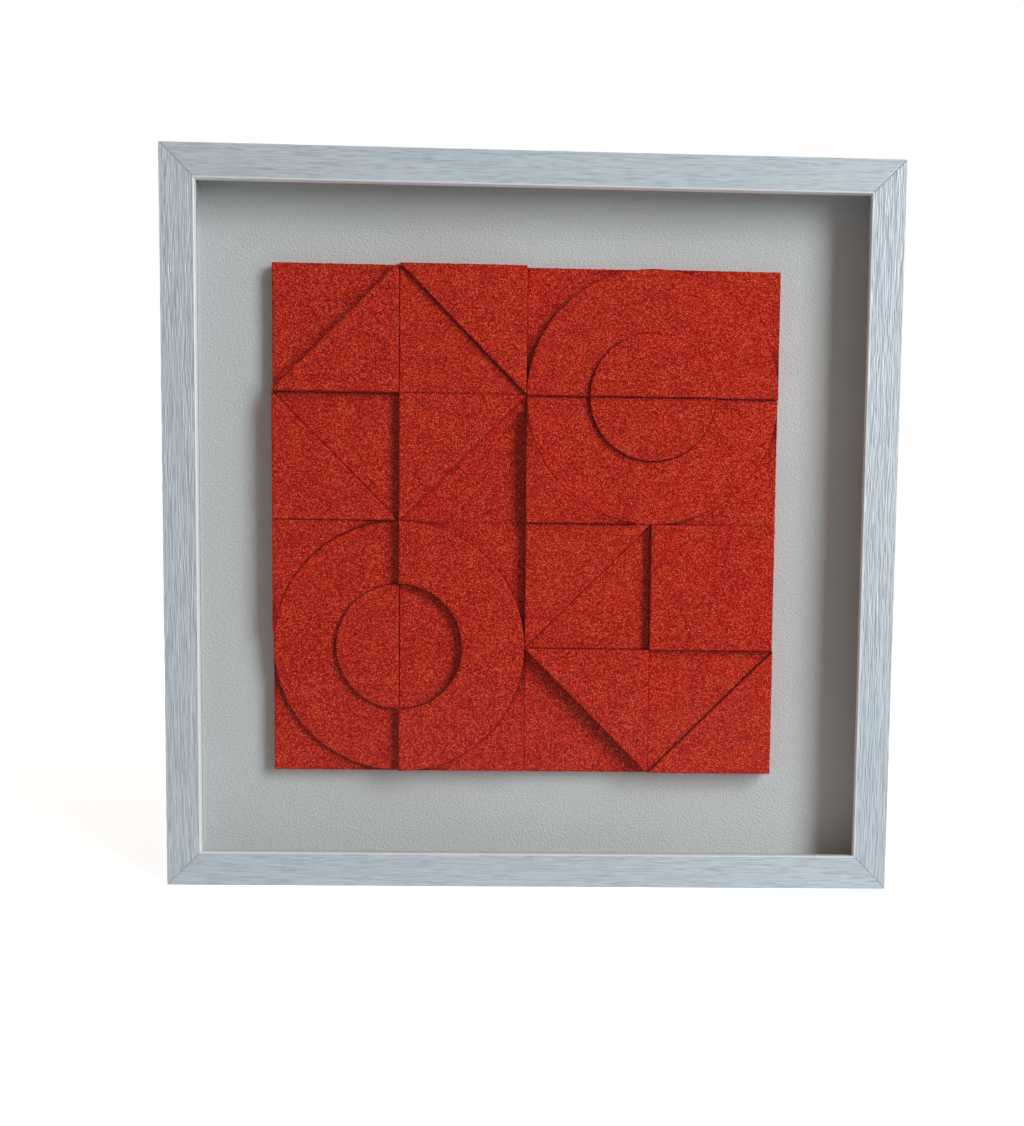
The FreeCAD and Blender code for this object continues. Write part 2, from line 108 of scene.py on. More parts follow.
def lattice_value(column, row, seed):
    """A fixed random number from 0 to 1 for each lattice point.

    In words: column, row and seed are each multiplied by a large odd number and added, and the high bits are
    folded onto the low ones twice.
    """
    mixed = (
        column.astype(np.uint32) * COLUMN_FACTOR
        + row.astype(np.uint32) * ROW_FACTOR
        + np.uint32((seed * 97 + 1) * SEED_FACTOR & ALL_BITS)
    )
    mixed = (mixed ^ (mixed >> np.uint32(13))) * FOLD_FACTOR
    mixed = mixed ^ (mixed >> np.uint32(16))
    return (mixed & np.uint32(LOW_BITS)) / float(LOW_BITS)


def smooth_noise(x, y, seed):
    """Waves from 0 to 1: the lattice values at the four corners round a point, blended by t * t * (3 - 2 t)."""
    column, row = np.floor(x).astype(np.int64), np.floor(y).astype(np.int64)
    across, up = x - column, y - row
    across, up = across * across * (3 - 2 * across), up * up * (3 - 2 * up)
    low = lattice_value(column, row, seed) * (1 - across) + lattice_value(column + 1, row, seed) * across
    row = row + 1
    high = lattice_value(column, row, seed) * (1 - across) + lattice_value(column + 1, row, seed) * across
    return low * (1 - up) + high * up


def grains(x, y, size, seed):
    """Heights of packed round grains, 0 between them and up to 1 on top.

    In words: each lattice square holds one grain at a random spot. The height is that of a ball's top over the
    nearest grain, the root of 1 minus the squared distance, times the grain's own random height.
    """
    x, y = x / size, y / size
    column, row = np.floor(x).astype(np.int64), np.floor(y).astype(np.int64)
    height = np.zeros_like(x)
    for across in (-1, 0, 1):
        for up in (-1, 0, 1):
            c, r = column + across, row + up
            middle_x = c + SPOT_MARGIN + (1 - 2 * SPOT_MARGIN) * lattice_value(c, r, seed)
            middle_y = r + SPOT_MARGIN + (1 - 2 * SPOT_MARGIN) * lattice_value(c, r, seed + 1)
            distance = np.hypot(x - middle_x, y - middle_y) / GRAIN_REACH
            tall = SHORTEST_GRAIN + (1 - SHORTEST_GRAIN) * lattice_value(c, r, seed + 2)
            height = np.maximum(height, tall * np.sqrt(np.maximum(0, 1 - distance**2)))
    return height


# %% [markdown]
# ## Materials
#
# A finish is a small tree of nodes. A few helpers keep each tree short: one makes a material with its main
# shader, one adds a node and sets its values, and one spreads a number over a run of colours. Patterns read
# Object coordinates, which are metres here, so a scale of 800 means a grain of 1/800 m.

# %% Material helpers


def new_material(name, roughness, **constants):
    """A material, its node tree and its main shader, with the constant values set on the shader itself."""
    material = bpy.data.materials.new(name)
    material.use_nodes = True
    shader = material.node_tree.nodes["Principled BSDF"]
    shader.inputs["Roughness"].default_value = roughness
    for socket, value in constants.items():
        shader.inputs[socket.replace("_", " ")].default_value = value
    return material, material.node_tree, shader


def add_node(tree, kind, **values):
    """One node of a kind. Names of inputs are written with underscores; inputs given as sockets are linked."""
    node = tree.nodes.new(f"ShaderNode{kind}")
    for name, value in values.items():
        if hasattr(node, name):
            setattr(node, name, value)
            continue
        socket = node.inputs[int(name[1:])] if name[0] == "i" and name[1:].isdigit() else None
        socket = socket or node.inputs[name.replace("_", " ")]
        if isinstance(value, bpy.types.NodeSocket):
            tree.links.new(value, socket)
        else:
            socket.default_value = value
    return node


def colour_run(tree, factor, *stops):
    """Colours that follow a number: each stop is (place from 0 to 1, red, green, blue)."""
    ramp = tree.nodes.new("ShaderNodeValToRGB")
    tree.links.new(factor, ramp.inputs["Fac"])
    elements = ramp.color_ramp.elements
    while len(elements) < len(stops):
        elements.new(0.5)
    for element, (place, *colour) in zip(elements, stops):
        element.position = place
        element.color = (*colour, 1)
    return ramp.outputs["Color"]


def number_run(tree, value, low, high, to_low=0.0, to_high=1.0):
    """Spreads a number from one range to another and holds it there."""
    node = add_node(
        tree, "MapRange", Value=value, From_Min=low, From_Max=high, To_Min=to_low, To_Max=to_high
    )
    return node.outputs["Result"]


def blend_colours(tree, factor, first, second):
    """Mixes two colours, given as sockets or as values, by a factor."""
    node = tree.nodes.new("ShaderNodeMix")
    node.data_type = "RGBA"
    for socket, value in ((node.inputs[0], factor), (node.inputs[6], first), (node.inputs[7], second)):
        if isinstance(value, bpy.types.NodeSocket):
            tree.links.new(value, socket)
        else:
            socket.default_value = value
    return node.outputs[2]


def place_in_object(tree, stretch=(1, 1, 1)):
    """Object coordinates, stretched: a stretch of 0.1 along an axis makes a pattern ten times longer there."""
    coordinates = tree.nodes.new("ShaderNodeTexCoord")
    return add_node(tree, "Mapping", Vector=coordinates.outputs["Object"], Scale=stretch).outputs["Vector"]


def bump(tree, shader, height, depth, strength=1.0):
    """Roughens the shading by a height from 0 to 1 that stands for a depth in metres."""
    node = add_node(tree, "Bump", Height=height, Distance=depth, Strength=strength)
    tree.links.new(node.outputs["Normal"], shader.inputs["Normal"])


# %% [markdown]
# ## Red grit
#
# The blocks are coated with crushed grit in glue. Each grain is a little lighter or deeper than the next,
# from dark red to orange red. A Voronoi texture gives each grain its own random value and its round: the
# colour follows half the value and half the round, so each grain has painted light on its top and painted
# shade in the pits where it meets the next. A few tiny pale specks are painted highlights, as glints. The
# lumps that the grains form are real geometry further down.

# %% Red grit material
GRAIN = 0.75 * MM
GLINT = 0.42 * MM
GRAIN_DEPTH = 0.45 * MM

grit, tree, shader = new_material("red_grit", 0.75, Specular_IOR_Level=0.13)
where = place_in_object(tree)
cells = add_node(tree, "TexVoronoi", Vector=where, Scale=1 / GRAIN)
chance = add_node(tree, "SeparateColor", Color=cells.outputs["Color"])
# Painted light and shade: each grain is coloured lighter on its top and darker towards its edge, in the pits.
painted_grain_shade = number_run(tree, cells.outputs["Distance"], 0.15, 0.8, 0.5, 0.0)
patches = add_node(tree, "TexNoise", Vector=where, Scale=90.0, Detail=1.0)
patch = number_run(tree, patches.outputs["Fac"], 0.3, 0.7, -0.04, 0.04)
tone = add_node(tree, "Math", operation="MULTIPLY_ADD", i0=chance.outputs["Red"], i1=0.5, i2=painted_grain_shade)
tone = add_node(tree, "Math", operation="ADD", i0=tone.outputs["Value"], i1=patch)
base = colour_run(
    tree,
    tone.outputs["Value"],
    (0.0, 0.13, 0.001, 0.001),
    (0.3, 0.46, 0.004, 0.002),
    (0.6, 0.77, 0.027, 0.006),
    (1.0, 0.95, 0.210, 0.080),
)
# Painted highlights: a few tiny pale specks stand in for grains catching the light.
glint_cells = add_node(tree, "TexVoronoi", Vector=where, Scale=1 / GLINT)
glint_chance = add_node(tree, "SeparateColor", Color=glint_cells.outputs["Color"])
painted_glints = number_run(tree, glint_chance.outputs["Green"], 0.994, 0.998)
colour = blend_colours(tree, painted_glints, base, (0.97, 0.40, 0.27, 1))
tree.links.new(colour, shader.inputs["Base Color"])
tree.links.new(number_run(tree, chance.outputs["Blue"], 0, 1, 0.45, 0.9), shader.inputs["Roughness"])
bump(tree, shader, number_run(tree, cells.outputs["Distance"], 0.0, 0.85, 1.0, 0.0), GRAIN_DEPTH)
print(grit.name, "has", len(tree.nodes), "nodes")

# %% [markdown]
# ## Whitewashed moulding
#
# The frame is a foil-covered moulding with an embossed grain: pale blue-grey, a shade darker down in the
# grooves. The grooves are geometry, and the mesh carries how deep each point lies in an attribute called
# groove, so the paint can be darker exactly there. Two more attributes mark the plain white lip along the
# sight edge, and the raw board that shows at the back; the second also paints brown on the small chamfer
# where the lip meets the glass, as painted shade: the dark line of the gap there.

# %% Moulding material
moulding_finish, tree, shader = new_material("whitewashed_moulding", 0.42, Specular_IOR_Level=0.75)
groove = add_node(tree, "Attribute", attribute_name="groove").outputs["Fac"]
# This attribute is 1 on raw board at the back, and on the chamfer behind the lip, where its brown is painted
# shade.
raw_and_gap_shade = add_node(tree, "Attribute", attribute_name="raw_and_gap_shade").outputs["Fac"]
where = place_in_object(tree)
paint = colour_run(
    tree, groove, (0.0, 0.695, 0.785, 0.865), (0.5, 0.60, 0.68, 0.755), (1.0, 0.42, 0.485, 0.545)
)
clouds = add_node(tree, "TexNoise", Vector=where, Scale=30.0, Detail=4.0)
cloud = number_run(tree, clouds.outputs["Fac"], 0.35, 0.7, 0.0, 0.2)
paint = blend_colours(tree, cloud, paint, (0.58, 0.67, 0.745, 1))
lip = add_node(tree, "Attribute", attribute_name="lip").outputs["Fac"]
paint = blend_colours(tree, lip, paint, (0.88, 0.92, 0.95, 1))
fibres = add_node(tree, "TexNoise", Vector=where, Scale=900.0, Detail=3.0)
board = colour_run(tree, fibres.outputs["Fac"], (0.3, 0.20, 0.13, 0.075), (0.7, 0.36, 0.25, 0.15))
tree.links.new(blend_colours(tree, raw_and_gap_shade, paint, board), shader.inputs["Base Color"])
gloss = add_node(tree, "Math", operation="MAXIMUM", i0=number_run(tree, groove, 0, 1, 0.3, 0.55))
tree.links.new(number_run(tree, raw_and_gap_shade, 0, 1, 0.0, 0.85), gloss.inputs[1])
tree.links.new(gloss.outputs["Value"], shader.inputs["Roughness"])
bump(tree, shader, fibres.outputs["Fac"], 0.02 * MM, 0.5)
print(moulding_finish.name, "has", len(tree.nodes), "nodes")

# %% [markdown]
# ## Cards and boards
#
# The mount is off-white card with a pebbled surface, seen best where light grazes it, and a few pale
# specks. The spacer strips are plainer card. The backing is brown fibreboard, flecked and slightly uneven
# in tone.

# %% Card and board materials
mount_card, tree, shader = new_material("textured_card", 0.8, Specular_IOR_Level=0.3)
where = place_in_object(tree)
pebbles = add_node(tree, "TexVoronoi", Vector=where, Scale=1 / (1.3 * MM), feature="SMOOTH_F1", Smoothness=0.5)
weave = add_node(tree, "TexNoise", Vector=where, Scale=1100.0, Detail=2.0)
clouds = add_node(tree, "TexNoise", Vector=where, Scale=9.0, Detail=2.0)
tone = colour_run(tree, clouds.outputs["Fac"], (0.3, 0.62, 0.655, 0.67), (0.7, 0.66, 0.695, 0.71))
lint = add_node(tree, "TexVoronoi", Vector=where, Scale=1 / (30 * MM))
speck = number_run(tree, lint.outputs["Distance"], 0.008, 0.014, 1.0, 0.0)
tone = blend_colours(tree, speck, tone, (0.9, 0.9, 0.86, 1))
tree.links.new(tone, shader.inputs["Base Color"])
tree.links.new(number_run(tree, weave.outputs["Fac"], 0.3, 0.7, 0.7, 0.9), shader.inputs["Roughness"])
pebbled = add_node(tree, "Math", operation="ADD", i0=pebbles.outputs["Distance"], i1=weave.outputs["Fac"])
bump(tree, shader, pebbled.outputs["Value"], 0.3 * MM)

spacer_card, tree, shader = new_material("spacer_card", 0.85, Specular_IOR_Level=0.3)
where = place_in_object(tree)
fibres = add_node(tree, "TexNoise", Vector=where, Scale=500.0, Detail=4.0)
tree.links.new(
    colour_run(tree, fibres.outputs["Fac"], (0.3, 0.50, 0.51, 0.50), (0.7, 0.60, 0.61, 0.60)),
    shader.inputs["Base Color"],
)
bump(tree, shader, fibres.outputs["Fac"], 0.04 * MM, 0.5)

fibreboard, tree, shader = new_material("fibreboard", 0.75, Specular_IOR_Level=0.3)
where = place_in_object(tree)
flecks = add_node(tree, "TexNoise", Vector=where, Scale=420.0, Detail=5.0, Roughness=0.7)
clouds = add_node(tree, "TexNoise", Vector=where, Scale=14.0, Detail=4.0)
tone = colour_run(
    tree, flecks.outputs["Fac"], (0.25, 0.16, 0.095, 0.05), (0.5, 0.27, 0.17, 0.095), (0.8, 0.40, 0.28, 0.17)
)
shade = number_run(tree, clouds.outputs["Fac"], 0.3, 0.7, 0.0, 0.35)
tree.links.new(blend_colours(tree, shade, tone, (0.20, 0.125, 0.07, 1)), shader.inputs["Base Color"])
tree.links.new(number_run(tree, flecks.outputs["Fac"], 0.2, 0.8, 0.62, 0.85), shader.inputs["Roughness"])
bump(tree, shader, flecks.outputs["Fac"], 0.06 * MM, 0.6)
print("cards and boards:", mount_card.name, spacer_card.name, fibreboard.name)

# %% [markdown]
# ## Glass, steel and rubber
#
# Glass in front of a scene would keep lamps out, because a lamp's light can't be traced through a bending
# surface. So lamp rays, and rays on their way on from a surface, pass as if the pane were empty. Only the
# ray that looks at the pane meets glass, bends and mirrors. Steel is brushed: a noise stretched along X
# varies its gloss. Rubber is dark and dull.

# %% Glass, steel and rubber materials
clear_glass, tree, shader = new_material(
    "clear_glass", 0.0, Transmission_Weight=1.0, IOR=1.5, Base_Color=(0.97, 0.99, 0.98, 1)
)
paths = tree.nodes.new("ShaderNodeLightPath")
scattered = add_node(
    tree, "Math", operation="MAXIMUM", i0=paths.outputs["Is Glossy Ray"], i1=paths.outputs["Is Diffuse Ray"]
)
passing = add_node(
    tree, "Math", operation="MAXIMUM", i0=paths.outputs["Is Shadow Ray"], i1=scattered.outputs["Value"]
)
empty = tree.nodes.new("ShaderNodeBsdfTransparent")
pane = add_node(
    tree, "MixShader", i0=passing.outputs["Value"], i1=shader.outputs["BSDF"], i2=empty.outputs["BSDF"]
)
tree.links.new(pane.outputs["Shader"], tree.nodes["Material Output"].inputs["Surface"])


def brushed_steel(name, dark, light, rough_low, rough_high):
    """Steel whose tone and gloss vary in fine streaks along X."""
    material, tree, shader = new_material(name, rough_low, Metallic=1.0)
    where = place_in_object(tree, (0.08, 1, 1))
    streaks = add_node(tree, "TexNoise", Vector=where, Scale=2600.0, Detail=4.0)
    tone = colour_run(tree, streaks.outputs["Fac"], (0.3, *dark), (0.7, *light))
    tree.links.new(tone, shader.inputs["Base Color"])
    gloss = number_run(tree, streaks.outputs["Fac"], 0.3, 0.7, rough_low, rough_high)
    tree.links.new(gloss, shader.inputs["Roughness"])
    bump(tree, shader, streaks.outputs["Fac"], 0.02 * MM, 0.4)
    return material


zinc_steel = brushed_steel("zinc_steel", (0.50, 0.51, 0.52), (0.66, 0.66, 0.65), 0.28, 0.45)
spring_steel = brushed_steel("spring_steel", (0.30, 0.30, 0.31), (0.46, 0.46, 0.47), 0.32, 0.5)

black_rubber, tree, shader = new_material("black_rubber", 0.8)
skin = add_node(tree, "TexNoise", Vector=place_in_object(tree), Scale=1500.0, Detail=3.0)
tree.links.new(
    colour_run(tree, skin.outputs["Fac"], (0.3, 0.018, 0.018, 0.019), (0.7, 0.034, 0.034, 0.036)),
    shader.inputs["Base Color"],
)
bump(tree, shader, skin.outputs["Fac"], 0.05 * MM, 0.5)
print("glass, steel and rubber:", clear_glass.name, zinc_steel.name, spring_steel.name, black_rubber.name)

# %% [markdown]
# ## From arrays to a piece
#
# Every new piece goes through one function: it takes points and faces, closes the mesh, turns all faces
# outwards, hangs the piece on the body it rides on, and hides the solid it stands for.

# %% Piece maker
MERGE_DISTANCE = 0.004 * MM


def make_piece(name, points, faces, material, slot, stands_for, smooth_under_degrees, attributes=None):
    """A finished object from an array of points and a list of faces, with optional numbers for each point."""
    mesh = bpy.data.meshes.new(name)
    mesh.from_pydata(points.tolist(), [], faces)
    for label, values in (attributes or {}).items():
        layer = mesh.attributes.new(label, "FLOAT", "POINT")
        layer.data.foreach_set("value", np.asarray(values, np.float32))
    shell = bmesh.new()
    shell.from_mesh(mesh)
    bmesh.ops.remove_doubles(shell, verts=shell.verts, dist=MERGE_DISTANCE)
    bmesh.ops.recalc_face_normals(shell, faces=shell.faces)
    shell.to_mesh(mesh)
    shell.free()
    mesh.shade_smooth()
    mesh.set_sharp_from_angle(angle=math.radians(smooth_under_degrees))
    mesh.materials.append(material)
    piece = bpy.data.objects.new(name, mesh)
    bpy.context.collection.objects.link(piece)
    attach(piece, "root")
    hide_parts(stands_for)
    return piece


def triangles_in(piece):
    """How many triangles a piece renders as."""
    return sum(len(face.vertices) - 2 for face in piece.data.polygons)


def finish_node(node, material):
    """Gives a solid whose shape is already right its material."""
    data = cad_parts[node].data
    data.materials.clear()
    data.materials.append(material)


# %% [markdown]
# ## The moulding, carried along each rail
#
# A rail is one profile carried along a straight path. Both ends are mitred, which needs no cutting: a point
# of the profile that lies w inside the outer face only runs to within w of the corner. So its place along
# the rail is u times (half the frame minus w), with u from -1 to 1.
#
# The embossed grain pushes the front and outer faces in by up to 0.42 mm. It is smooth noise, squeezed
# across the rail and drawn out along it, and bent a little so that the lines wander as wood does. The paint
# ends just past the outer face's back edge, and the back and the rabbet behind it are raw board. The small
# chamfer behind the lip gets the raw board's brown too, as painted shade: the dark line of the gap at the
# glass.

# %% Moulding profile
LIP_RADIUS = 0.5 * MM
LIP_RELIEF = 0.45 * MM
EDGE_RADIUS = 0.8 * MM
CONTENT_CLEARANCE = 1.0 * MM
NAIL_STANDS_OUT = 0.04 * MM
PAINT_EDGE = 0.3 * MM
GROOVE_DEPTH = 0.42 * MM

rail_low, rail_high = (np.array(corner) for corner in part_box("frame_bottom"))
glass_low, glass_high = (np.array(corner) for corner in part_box("glass"))
half_outer = rail_high[0]
front, back = rail_low[1], rail_high[1]
middle_height = half_outer
sight = rail_high[2] - rail_low[2]
lip_back = glass_low[1]
rabbet = half_outer - glass_high[0] - CONTENT_CLEARANCE
raw_back = back - NAIL_STANDS_OUT


def stretch(start, end, pitch):
    """Evenly spaced points on a straight line, without its last one."""
    start, end = np.array(start), np.array(end)
    count = max(1, round(float(np.hypot(*(end - start))) / pitch))
    return start + (end - start) * (np.arange(count) / count)[:, None]


def bend(centre, radius, first_degrees, last_degrees, count):
    """Points on an arc, without its last one: the centre plus the radius times cosine and sine."""
    angle = np.radians(first_degrees + (last_degrees - first_degrees) * np.arange(count) / count)
    return np.array(centre) + radius * np.stack([np.cos(angle), np.sin(angle)], 1)


# The profile in (depth, distance in from the outer face). With each stretch come three shares: how far the
# grain shows on it, whether it is the plain lip, and whether it is raw board or painted gap shade.
profile_parts = (
    (stretch((raw_back, 0), (front + EDGE_RADIUS, 0), 0.38 * MM), (0.8, 0, 0)),
    (bend((front + EDGE_RADIUS, EDGE_RADIUS), EDGE_RADIUS, 270, 180, 4), (0.5, 0, 0)),
    (stretch((front, EDGE_RADIUS), (front, sight - LIP_RADIUS - 0.4 * MM), 0.21 * MM), (1, 0, 0)),
    (stretch((front, sight - LIP_RADIUS - 0.4 * MM), (front, sight - LIP_RADIUS), 0.2 * MM), (0, 0.6, 0)),
    (bend((front + LIP_RADIUS, sight - LIP_RADIUS), LIP_RADIUS, 180, 90, 5), (0, 1, 0)),
    (stretch((front + LIP_RADIUS, sight), (lip_back - LIP_RELIEF, sight), 1.2 * MM), (0, 1, 0)),
    # Painted shade: this chamfer behind the lip is marked as raw board, so its brown draws the dark line of the
    # gap at the glass.
    (stretch((lip_back - LIP_RELIEF, sight), (lip_back, sight - LIP_RELIEF), 1 * MM), (0, 0, 1)),
    (stretch((lip_back, sight - LIP_RELIEF), (lip_back, rabbet), 3.5 * MM), (0, 0, 1)),
    (stretch((lip_back, rabbet), (raw_back, rabbet), 8 * MM), (0, 0, 1)),
    (stretch((raw_back, rabbet), (raw_back, PAINT_EDGE), 4 * MM), (0, 0, 1)),
    (stretch((raw_back, PAINT_EDGE), (raw_back, 0), PAINT_EDGE), (0, 0, 1)),
)
profile = np.concatenate([part for part, _ in profile_parts])
shares = np.concatenate([np.tile(share, (len(part), 1)) for part, share in profile_parts])
shows_grain, is_lip, raw_board_and_gap_shade = shares.T
run_across = np.concatenate([[0], np.cumsum(np.hypot(*np.diff(profile, axis=0).T))])
print("profile points", len(profile), "rabbet", round(rabbet / MM, 1), "mm, sight", round(sight / MM, 1), "mm")

# %% [markdown]
# The profile's outward direction at each point is its tangent turned by a quarter: the grain is pressed in
# against it. Near the mitres the faces dip by 0.22 mm, which draws the fine dark line of a real joint.

# %% Rails
tangent = np.roll(profile, -1, 0) - np.roll(profile, 1, 0)
tangent /= np.hypot(*tangent.T)[:, None]
outward = np.stack([-tangent[:, 1], tangent[:, 0]], 1)
if (outward[np.argmin(profile[:, 0])] @ np.array([-1, 0])) < 0:
    outward = -outward

STATION_PITCH = 1.05 * MM
MITRE_GAP = 0.05 * MM
MITRE_DIP = 0.22 * MM
MITRE_WIDTH = 0.4 * MM
MITRE_DARKNESS = 1.2
NEAR_END = np.array([0, 0.3, 0.7, 1.4]) * MM
GRAIN_SHIFT = 70 * MM
RAIL_SMOOTH_DEGREES = 35

# Length along and width across of each noise in the grain, and how far the two waves bend the lines.
SLOW_WAVE, QUICK_WAVE = (70 * MM, 20 * MM), (8 * MM, 3 * MM)
SLOW_BEND, QUICK_BEND = 2.0 * MM, 0.5 * MM
LINE, HAIR, PATCH = (9 * MM, 0.54 * MM), (3.5 * MM, 0.40 * MM), (30 * MM, 2.5 * MM)


def long_noise(along, across, size, seed):
    """Smooth noise with a new value for each length along the rail and each width across it."""
    return smooth_noise(along / size[0], across / size[1], seed)


def wood_grain(along, across, seed):
    """How deep the emboss is, from 0 to 1.

    In words: the place across is bent by a slow and a quick wave. Noise with a value every 0.54 mm across and
    every 9 mm along gives the long lines, and a finer one the hairs between. Their sum is made stronger or
    weaker from patch to patch.
    """
    wander = across + SLOW_BEND * long_noise(along, across, SLOW_WAVE, seed)
    wander = wander + QUICK_BEND * long_noise(along, across, QUICK_WAVE, seed + 1)
    lines = long_noise(along, wander, LINE, seed + 2)
    hairs = long_noise(along, wander, HAIR, seed + 3)
    strength = 0.7 + 0.6 * long_noise(along, wander, PATCH, seed + 4)
    return np.clip(0.5 + (0.75 * lines + 0.35 * hairs - 0.55) * strength, 0, 1)


def quarter_turns(across, up, turns):
    """Turns points clockwise as seen from the front: each quarter turn sends (x, z) to (z, -x)."""
    for _ in range(turns):
        across, up = up, -across
    return across, up


def rail(node, name, turns, seed):
    """One mitred rail: stations along it times the profile's points, with the grain pressed in."""
    length = 2 * half_outer
    evenly = np.linspace(NEAR_END[-1] / length, 0.5, round(length / STATION_PITCH) // 2)
    fraction = np.concatenate([NEAR_END[:-1] / length, evenly])
    u = np.concatenate([2 * fraction - 1, (1 - 2 * fraction)[::-1][1:]])
    depth, inward = profile.T
    reach = half_outer - inward - MITRE_GAP
    along = u[:, None] * reach[None, :]
    emboss = wood_grain(along, run_across[None, :] + GRAIN_SHIFT * turns, seed) * shows_grain[None, :]
    from_end = (1 - np.abs(u))[:, None] * reach[None, :]
    dip = np.clip(1 - from_end / MITRE_WIDTH, 0, 1) * MITRE_DIP
    dip = dip * (shows_grain > 0)[None, :]
    push = -(emboss * GROOVE_DEPTH + dip)
    y = depth[None, :] + outward[None, :, 0] * push
    inside = inward[None, :] + outward[None, :, 1] * push
    across, up = quarter_turns(along, inside - half_outer, turns)
    points = np.stack([across, y, up + middle_height], 2).reshape(-1, 3)

    stations, around = len(u), len(profile)
    first = np.arange(stations - 1)[:, None] * around + np.arange(around)[None, :]
    second = np.arange(stations - 1)[:, None] * around + (np.arange(around)[None, :] + 1) % around
    faces = np.stack([first, second, second + around, first + around], 2).reshape(-1, 4).tolist()
    faces.append(list(range(around)))
    faces.append(list(range((stations - 1) * around, stations * around)))
    attributes = {
        "groove": np.clip(emboss + MITRE_DARKNESS * dip / MITRE_DIP, 0, 1).ravel(),
        "lip": np.broadcast_to(is_lip, (stations, around)).ravel(),
        "raw_and_gap_shade": np.broadcast_to(raw_board_and_gap_shade, (stations, around)).ravel(),
    }
    return make_piece(
        name, points, faces, moulding_finish, "whitewashed_moulding", node, RAIL_SMOOTH_DEGREES, attributes
    )


for turns, side in enumerate(("bottom", "left", "top", "right")):
    made = rail(f"frame_{side}", f"moulding_{side}", turns, 20 + 10 * turns)
    print(made.name, triangles_in(made), "triangles")

# %% [markdown]
# ## Outlines of the blocks
#
# The relief is a square of four modules. Two hold a diamond cut into quarters, and two hold a ring cut into
# bands round half discs. Each outline is first drawn in the upper right corner or the upper half of its
# module, as a flat patch of points, and is then turned and moved. A patch is a grid over the outline with
# points about 0.6 mm apart, the width of a grain. Three kinds of grid cover all the outlines without
# crowding at a tip: rows that get one point shorter, a grid bent round the centre, and a square pulled into
# a half disc.

# %% Patches
PITCH = 0.62 * MM

panel_low, panel_high = (np.array(corner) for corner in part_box("relief_panel"))
panel_middle = (panel_low + panel_high) / 2
cell = (panel_high[0] - panel_low[0]) / 4
low_level = panel_low[1]
half_disc_low, half_disc_high = (np.array(corner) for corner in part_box("rings_upper_half_disc_top"))
seam_half = half_disc_low[2] - (panel_middle[2] + cell)
ring_radius = (half_disc_high[0] - half_disc_low[0]) / 2 + seam_half


def steps(length):
    """How many grid steps a length takes."""
    return max(2, round(float(length) / PITCH))


def grid_patch(x, z):
    """A patch from two arrays of places over a grid: its points, faces, and the loop of points round its edge.

    In words: point (i, j) joins (i + 1, j), (i + 1, j + 1) and (i, j + 1). Points that fall together at a tip
    are made one.
    """
    rows, columns = x.shape
    index = np.arange(rows * columns).reshape(rows, columns)
    quads = np.stack([index[:-1, :-1], index[1:, :-1], index[1:, 1:], index[:-1, 1:]], 2).reshape(-1, 4)
    loop = np.concatenate([index[:-1, 0], index[-1, :-1], index[:0:-1, -1], index[0, :0:-1]])
    points = np.stack([x.ravel(), z.ravel()], 1)
    _, keep, same = np.unique(np.round(points / (MM / 1000)), axis=0, return_index=True, return_inverse=True)
    same = same.ravel()
    faces = [list(dict.fromkeys(face)) for face in same[quads].tolist()]
    faces = [face for face in faces if len(face) > 2]
    loop = same[loop]
    return points[keep], faces, loop[loop != np.roll(loop, 1)]


def triangle_patch(corner, leg):
    """A right triangle: from its corner, i steps along X and j along Z, for i + j up to the number of steps."""
    n = steps(abs(leg))
    i, j = np.meshgrid(np.arange(n + 1), np.arange(n + 1), indexing="ij")
    inside = i + j <= n
    index = np.full(inside.shape, -1)
    index[inside] = np.arange(inside.sum())
    points = corner + leg / n * np.stack([i[inside], j[inside]], 1)
    a, b = np.nonzero(i + j <= n - 2)
    quads = np.stack([index[a, b], index[a + 1, b], index[a + 1, b + 1], index[a, b + 1]], 1)
    a, b = np.nonzero(i + j == n - 1)
    edge = np.stack([index[a, b], index[a + 1, b], index[a, b + 1]], 1)
    count = np.arange(n)
    loop = np.concatenate([index[count, 0], index[n - count, count], index[0, n - count]])
    return points, quads.tolist() + edge.tolist(), loop


def quarter_outline():
    """A quarter of the diamond: its right angle by the module's centre."""
    return triangle_patch(np.array([seam_half, seam_half]), cell - seam_half * (2 + math.sqrt(2)))


def corner_outline():
    """The triangle outside the diamond: its right angle in the module's corner."""
    outer = cell - seam_half
    return triangle_patch(np.array([outer, outer]), -(cell - seam_half * (2 + math.sqrt(2))))


def band_outline():
    """The upper half of the ring: radius times cosine and sine, from the inner radius to the outer one."""
    inner, outer = ring_radius + seam_half, cell - seam_half
    radius = np.linspace(inner, outer, steps(outer - inner) + 1)[:, None]
    start = np.arcsin(seam_half / radius)
    share = np.linspace(0, 1, steps(math.pi * (inner + outer) / 2) + 1)[None, :]
    angle = start + (math.pi - 2 * start) * share
    return grid_patch(radius * np.cos(angle), radius * np.sin(angle))


def half_disc_outline():
    """The upper half disc: x is u times the root of 1 - v v / 2, and z is v times the root of 1 - u u / 2."""
    radius = ring_radius - seam_half
    u = np.linspace(-1, 1, steps(2 * radius) + 1)[None, :]
    v = np.linspace(0, 1, steps(radius) + 1)[:, None]
    x = radius * u * np.sqrt(1 - v * v / 2)
    z = seam_half + (radius - seam_half) * v * np.sqrt(1 - u * u / 2)
    return grid_patch(x, z)


